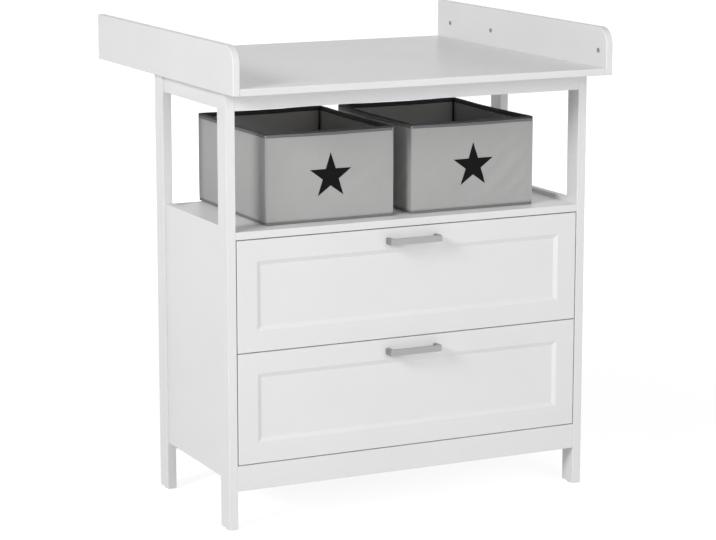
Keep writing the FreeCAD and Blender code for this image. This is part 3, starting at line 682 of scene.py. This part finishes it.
def corner_welts(cloth, looks):
    """Sewn seams up the four corners, as a thin welt in the box's own cloth."""
    rows, sides = WELT_ROWS, WELT_SIDES
    for number in range(4):
        station = cloth.stations[number*(CORNER_STEPS + SIDE_STEPS) + CORNER_STEPS//2]
        outward = station.outward
        across = Vector((-outward.y, outward.x, 0))
        out = Vector((outward.x, outward.y, 0))
        points, uvs = [], []
        for row in range(rows + 1):
            share = WELT_START + WELT_REACH*row/rows
            centre = cloth.point(station, share, WELT_PROUD)
            for step in range(sides):
                angle = 2*math.pi*step/sides
                offset = WELT_RADIUS*(math.cos(angle)*out + WELT_WIDENING*math.sin(angle)*across)
                points.append(centre + offset)
                uvs.append((step*WELT_RADIUS, share*cloth.height))
        piece = new_piece(f"{cloth.body}_corner_seam_{number}", points, tube_faces(0, rows + 1, sides),
                          uvs, looks["grey_cloth"], cloth)
        face_out(piece)


def stitches(cloth, looks):
    """A row of small stitches along the hem band's lower edge."""
    sides = STITCH_SIDES
    points, uvs, faces = [], [], []
    drop = HEM_DROP - STITCH_ABOVE_EDGE
    stations = cloth.stations
    number = int(stations[-1].length/STITCH_PITCH)
    lengths = [station.length for station in stations]
    index = 0
    for count in range(number):
        target = count*STITCH_PITCH
        while index + 1 < len(lengths) and lengths[index + 1] <= target:
            index += 1
        here, after = stations[index], stations[(index + 1) % len(stations)]
        if here.along == 1.0:
            continue
        gap = max(after.length - here.length, 1e-6)
        share = (target - here.length)/gap
        ends = [cloth.below_rim(station, HEM_THICKNESS, drop) for station in (here, after)]
        centre = ends[0].lerp(ends[1], min(share, 1))
        out = Vector((here.outward.x, here.outward.y, 0))
        along = Vector((-here.outward.y, here.outward.x, 0))
        first = len(points)
        for shift, size in STITCH_RINGS:
            for step in range(sides):
                angle = 2*math.pi*step/sides
                proud = out*STITCH_PROUD*math.cos(angle)
                wide = UP*STITCH_HALF_WIDTH*math.sin(angle)
                points.append(centre + along*shift*STITCH_HALF_LENGTH + size*(proud + wide))
                uvs.append((target + shift*STITCH_HALF_LENGTH, STITCH_HALF_WIDTH*step))
        faces += tube_faces(first, len(STITCH_RINGS), sides)
    piece = new_piece(f"{cloth.body}_stitches", points, faces, uvs, looks["dark_tape"], cloth)
    face_out(piece)


def base_insert(cloth, looks):
    """A loose, cloth-covered board in the bottom, with soft edges and a faint crown."""
    low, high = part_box(f"{cloth.body}_base")
    low = low + Vector((INSERT_GAP, INSERT_GAP, INSERT_LIFT))
    high = high - Vector((INSERT_GAP, INSERT_GAP, 0))
    steps, rings, soft = INSERT_STEPS, INSERT_RINGS, INSERT_SOFT
    # how far each ring of the edge lies in, and its share of the board's height
    edge = [(soft, 0.0), (0.4*MM, 0.35), (0.0, 0.7), (0.5*MM, 0.95), (soft, 1.0)]
    points, uvs = [], []
    outline = []
    for start, end in (((0, 0), (1, 0)), ((1, 0), (1, 1)), ((1, 1), (0, 1)), ((0, 1), (0, 0))):
        for step in range(steps):
            share = step/steps
            outline.append((start[0] + (end[0] - start[0])*share, start[1] + (end[1] - start[1])*share))
    count = len(outline)
    middle = (low + high)/2
    half = (high - low)/2

    def ring(inset, level, shrink=1.0):
        for u, v in outline:
            x = middle.x + (2*u - 1)*(half.x - inset)*shrink
            y = middle.y + (2*v - 1)*(half.y - inset)*shrink
            crown = INSERT_CROWN*level*(1 - shrink**2)
            uneven = cloth.ripple(x*INSERT_RIPPLE_ALONG, y*INSERT_RIPPLE_ALONG, INSERT_LAYER)
            wave = INSERT_RIPPLE*level*uneven*(1 - shrink**8)
            points.append(Vector((x, y, low.z + (high.z - low.z)*level + crown + wave)))
            uvs.append((x, y))

    for step in range(1, rings):
        ring(soft, 0.0, step/rings)
    for inset, level in edge:
        ring(inset, level)
    for step in range(rings - 1, 0, -1):
        ring(soft, 1.0, step/rings)
    faces = tube_faces(0, len(points)//count, count)
    piece = new_piece(f"{cloth.body}_base_insert", points, faces, uvs, looks["insert_board"], cloth,
                      (f"{cloth.body}_base",))
    face_out(piece)


STAR_POINTS = 5
STAR_RADIUS = 50*MM
STAR_INNER_RADIUS = 19.5*MM
STAR_CUTS = 9
STAR_PROUD = 0.30*MM
STAR_SUNK = 0.2*MM
FACING_FRONT = -0.99


def star_print(cloth, looks):
    """The printed star, laid on the front wall's own curve."""
    low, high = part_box(f"{cloth.body}_star")
    centre_x = (low.x + high.x)/2
    centre_z = high.z - STAR_RADIUS
    front = [station for station in cloth.stations
             if station.wall == 0 and station.outward.y < FACING_FRONT]

    def surface(x, z):
        spots = sorted(front, key=lambda station: abs(station.place.x - x))[:2]
        first, second = spots
        gap = second.place.x - first.place.x
        share = (x - first.place.x)/gap if abs(gap) > 1e-9 else 0
        depths = []
        for station in spots:
            level = (z - cloth.low.z)/(cloth.rim(station) - cloth.low.z)
            depths.append(station.place.y - cloth.swell(station, level))
        return depths[0] + (depths[1] - depths[0])*share

    work = bmesh.new()
    hub = work.verts.new((0, 0, 0))
    tips = []
    for index in range(2*STAR_POINTS):
        radius = STAR_INNER_RADIUS if index % 2 else STAR_RADIUS
        angle = math.pi*index/STAR_POINTS
        tips.append(work.verts.new((radius*math.sin(angle), 0, radius*math.cos(angle))))
    for index, tip in enumerate(tips):
        work.faces.new((hub, tip, tips[(index + 1) % len(tips)]))
    bmesh.ops.subdivide_edges(work, edges=work.edges[:], cuts=STAR_CUTS, use_grid_fill=True)
    for vert in work.verts:
        x, z = centre_x + vert.co.x, centre_z + vert.co.z
        vert.co = Vector((x, surface(x, z) - STAR_PROUD, z))
    skin = bmesh.ops.extrude_face_region(work, geom=work.faces[:])
    for item in skin["geom"]:
        if isinstance(item, bmesh.types.BMVert):
            item.co.y += STAR_PROUD + STAR_SUNK
    bmesh.ops.recalc_face_normals(work, faces=work.faces)
    work.verts.index_update()
    points = [vert.co.copy() for vert in work.verts]
    faces = [tuple(vert.index for vert in face.verts) for face in work.faces]
    work.free()
    uvs = [(point.x, point.z) for point in points]
    piece = new_piece(f"{cloth.body}_star_print", points, faces, uvs, looks["star_cloth"], cloth,
                      (f"{cloth.body}_star",))
    face_out(piece)
    for polygon in piece.data.polygons:
        polygon.use_smooth = False


def make_fabric_box(side, looks):
    cloth = BoxCloth(side)
    floor = cloth.low.z + CLOTH_LIFT
    lining_out = -LINING_GAP
    lining_in = -LINING_GAP - LINING_THICKNESS
    lining_floor = cloth.low.z + LINING_LIFT
    make_tub(cloth, f"{cloth.body}_cloth", 0.0, -WALL_THICKNESS, (floor, floor + WALL_THICKNESS),
             looks["grey_cloth"], (f"{cloth.body}_shell",))
    make_tub(cloth, f"{cloth.body}_lining", lining_out, lining_in,
             (lining_floor, lining_floor + LINING_THICKNESS), looks["insert_board"])
    rim_tape(cloth, looks)
    # The band below the rim tape is drawn darker: painted shade under the tape.
    painted_shade_hem_band(cloth, looks)
    foot_tape(cloth, looks)
    corner_welts(cloth, looks)
    stitches(cloth, looks)
    base_insert(cloth, looks)
    star_print(cloth, looks)


# ---------------------------------------------------------------- stage and light

FLOOR_REACH = 60.0
FLOOR_ALBEDO = 0.80
FLOOR_SHADOW_SHARE = 0.42
FLOOR_GLOW_NEAR = 0.80
FLOOR_GLOW_FAR = 1.0
FLOOR_NEAR_RADIUS = 0.9
FLOOR_FAR_RADIUS = 3.2


def seen_directly(tree):
    """One for rays from the camera and in reflections, nought for bounced light."""
    path = tree.nodes.new("ShaderNodeLightPath")
    either = math_node(tree, "MAXIMUM", path.outputs["Is Camera Ray"], path.outputs["Is Glossy Ray"])
    return math_node(tree, "MAXIMUM", either, path.outputs["Is Transmission Ray"])


def make_floor():
    """A pale floor that keeps the shadow but reads white around it."""
    mesh = bpy.data.meshes.new("floor")
    reach = FLOOR_REACH
    corners = [(-reach, -reach, 0), (reach, -reach, 0), (reach, reach, 0), (-reach, reach, 0)]
    mesh.from_pydata(corners, [], [(0, 1, 2, 3)])
    floor = bpy.data.objects.new("floor", mesh)
    bpy.context.scene.collection.objects.link(floor)
    material, tree, shader = new_material("floor")
    tree.nodes.remove(shader)
    plain = tree.nodes.new("ShaderNodeBsdfDiffuse")
    plain.inputs["Color"].default_value = (FLOOR_ALBEDO,)*3 + (1,)
    shadowed = tree.nodes.new("ShaderNodeBsdfDiffuse")
    shadowed.inputs["Color"].default_value = (FLOOR_SHADOW_SHARE,)*3 + (1,)
    glow = tree.nodes.new("ShaderNodeEmission")
    distance = tree.nodes.new("ShaderNodeVectorMath")
    distance.operation = "LENGTH"
    tree.links.new(coordinates(tree), distance.inputs[0])
    fade = tree.nodes.new("ShaderNodeMapRange")
    fade.interpolation_type = "SMOOTHSTEP"
    set_inputs(fade, {"From Min": FLOOR_NEAR_RADIUS, "From Max": FLOOR_FAR_RADIUS,
                      "To Min": FLOOR_GLOW_NEAR, "To Max": FLOOR_GLOW_FAR})
    tree.links.new(distance.outputs["Value"], fade.inputs["Value"])
    tree.links.new(fade.outputs["Result"], glow.inputs["Strength"])
    bright = tree.nodes.new("ShaderNodeAddShader")
    tree.links.new(shadowed.outputs[0], bright.inputs[0])
    tree.links.new(glow.outputs[0], bright.inputs[1])
    mix = tree.nodes.new("ShaderNodeMixShader")
    tree.links.new(seen_directly(tree), mix.inputs["Fac"])
    tree.links.new(plain.outputs[0], mix.inputs[1])
    tree.links.new(bright.outputs[0], mix.inputs[2])
    tree.links.new(mix.outputs[0], tree.nodes["Material Output"].inputs["Surface"])
    floor.data.materials.append(material)


AMBIENT = 0.25


def make_world():
    """Even room light, with a plain white background."""
    world = bpy.data.worlds.new("studio")
    bpy.context.scene.world = world
    world.use_nodes = True
    tree = world.node_tree
    room = tree.nodes["Background"]
    set_inputs(room, {"Color": (1, 1, 1, 1), "Strength": AMBIENT})
    white = tree.nodes.new("ShaderNodeBackground")
    set_inputs(white, {"Color": (1, 1, 1, 1), "Strength": 1.0})
    mix = tree.nodes.new("ShaderNodeMixShader")
    tree.links.new(seen_directly(tree), mix.inputs["Fac"])
    tree.links.new(room.outputs[0], mix.inputs[1])
    tree.links.new(white.outputs[0], mix.inputs[2])
    tree.links.new(mix.outputs[0], tree.nodes["World Output"].inputs["Surface"])


def area_light(name, place, target, size, power):
    """A soft lamp that lights the object but leaves no glare on it."""
    data = bpy.data.lights.new(name, "AREA")
    data.shape = "RECTANGLE"
    data.size, data.size_y = size
    data.energy = power
    light = bpy.data.objects.new(name, data)
    bpy.context.scene.collection.objects.link(light)
    light.visible_glossy = False
    light.location = place
    light.rotation_euler = (Vector(target) - Vector(place)).to_track_quat("-Z", "Y").to_euler()


# name, place, point it faces, size and power
LAMPS = (
    ("front_softbox", (0.3, -4.9, 1.9), (0, 0, 0.5), (2.6, 2.5), 86),
    ("left_softbox", (-5.1, -2.5, 3.4), (-0.42, -0.1, 0.6), (1.9, 1.7), 202),
    ("back_softbox", (-0.6, 5.0, 1.3), (0, 0.1, 0.5), (2.4, 2.0), 42),
    ("right_softbox", (5.0, 0.6, 1.3), (0.42, 0, 0.5), (2.0, 2.0), 40),
)


def make_lights():
    for lamp in LAMPS:
        area_light(*lamp)


# ---------------------------------------------------------------- the whole scene

make_camera()
make_floor()
make_world()
make_lights()
looks = make_materials()
dress_nodes(looks)
for side in SIDES:
    make_fabric_box(side, looks)
bpy.context.scene.view_settings.view_transform = "Standard"
